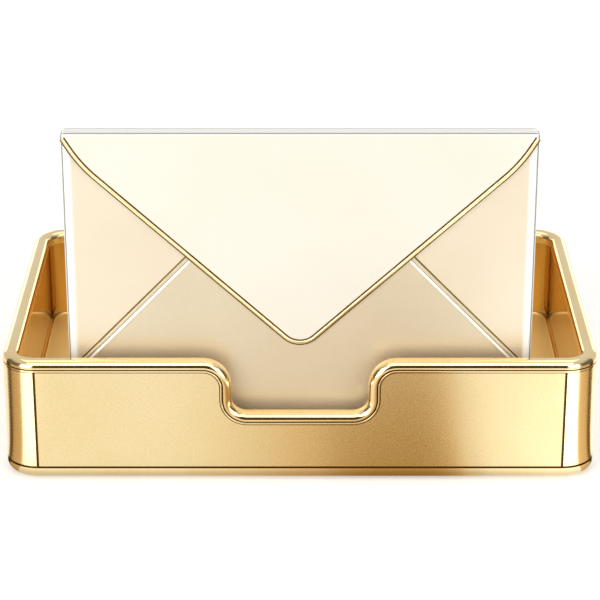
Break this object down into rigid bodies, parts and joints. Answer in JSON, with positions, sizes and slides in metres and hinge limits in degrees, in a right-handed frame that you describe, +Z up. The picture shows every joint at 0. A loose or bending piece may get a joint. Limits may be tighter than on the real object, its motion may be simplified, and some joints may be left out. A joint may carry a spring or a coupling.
{
  "type": "letter tray with envelope",
  "caption": "Open desk letter tray with hollow polished brass walls and a finger notch, holding a thick envelope that lifts out and has a pointed flap that opens.",
  "frame": {"origin": "middle of the footprint, on the surface that the tray stands on", "axes": "+X along the tray's long side to the right, -Y the front with the finger notch, +Z up"},
  "size_m": [0.295, 0.182, 0.1786],
  "materials": {
    "shell_satin": "satin",
    "pan_polished": "polished",
    "rim_polished": "polished",
    "base_polished": "polished",
    "rest_brass": "satin",
    "screw_steel": "zinc plated",
    "pad_rubber": "matt",
    "envelope_paper": "pearl",
    "flap_paper": "pearl",
    "letter_paper": "matt",
    "gilt_edging": "polished gilt"
  },
  "bodies": {
    "tray": {"outer_shell": "shell_satin", "inner_pan": "pan_polished", "rim_cap": "rim_polished", "base_plate": "base_polished", "base_screws": "screw_steel", "letter_rest": "rest_brass", "foot_pad_front_left": "pad_rubber", "foot_pad_front_right": "pad_rubber", "foot_pad_back_left": "pad_rubber", "foot_pad_back_right": "pad_rubber", "screw_post_front_left": "rest_brass", "screw_post_front_right": "rest_brass", "screw_post_back_left": "rest_brass", "screw_post_back_right": "rest_brass"},
    "envelope": {"envelope_back": "envelope_paper", "left_side_flap": "envelope_paper", "right_side_flap": "envelope_paper", "bottom_flap": "envelope_paper", "folded_letter": "letter_paper"},
    "flap": {"closing_flap": "flap_paper", "flap_edging": "gilt_edging"}
  },
  "joints": [
    {"name": "envelope_lift", "type": "slide", "parent": "tray", "child": "envelope", "axis": [0, 0, 1], "range_m": [0, 0.12]},
    {"name": "flap_open", "type": "hinge", "parent": "envelope", "child": "flap", "pos_m": [0, -0.0693, 0.1786], "axis": [-1, 0, 0], "range_deg": [0, 175]}
  ]
}
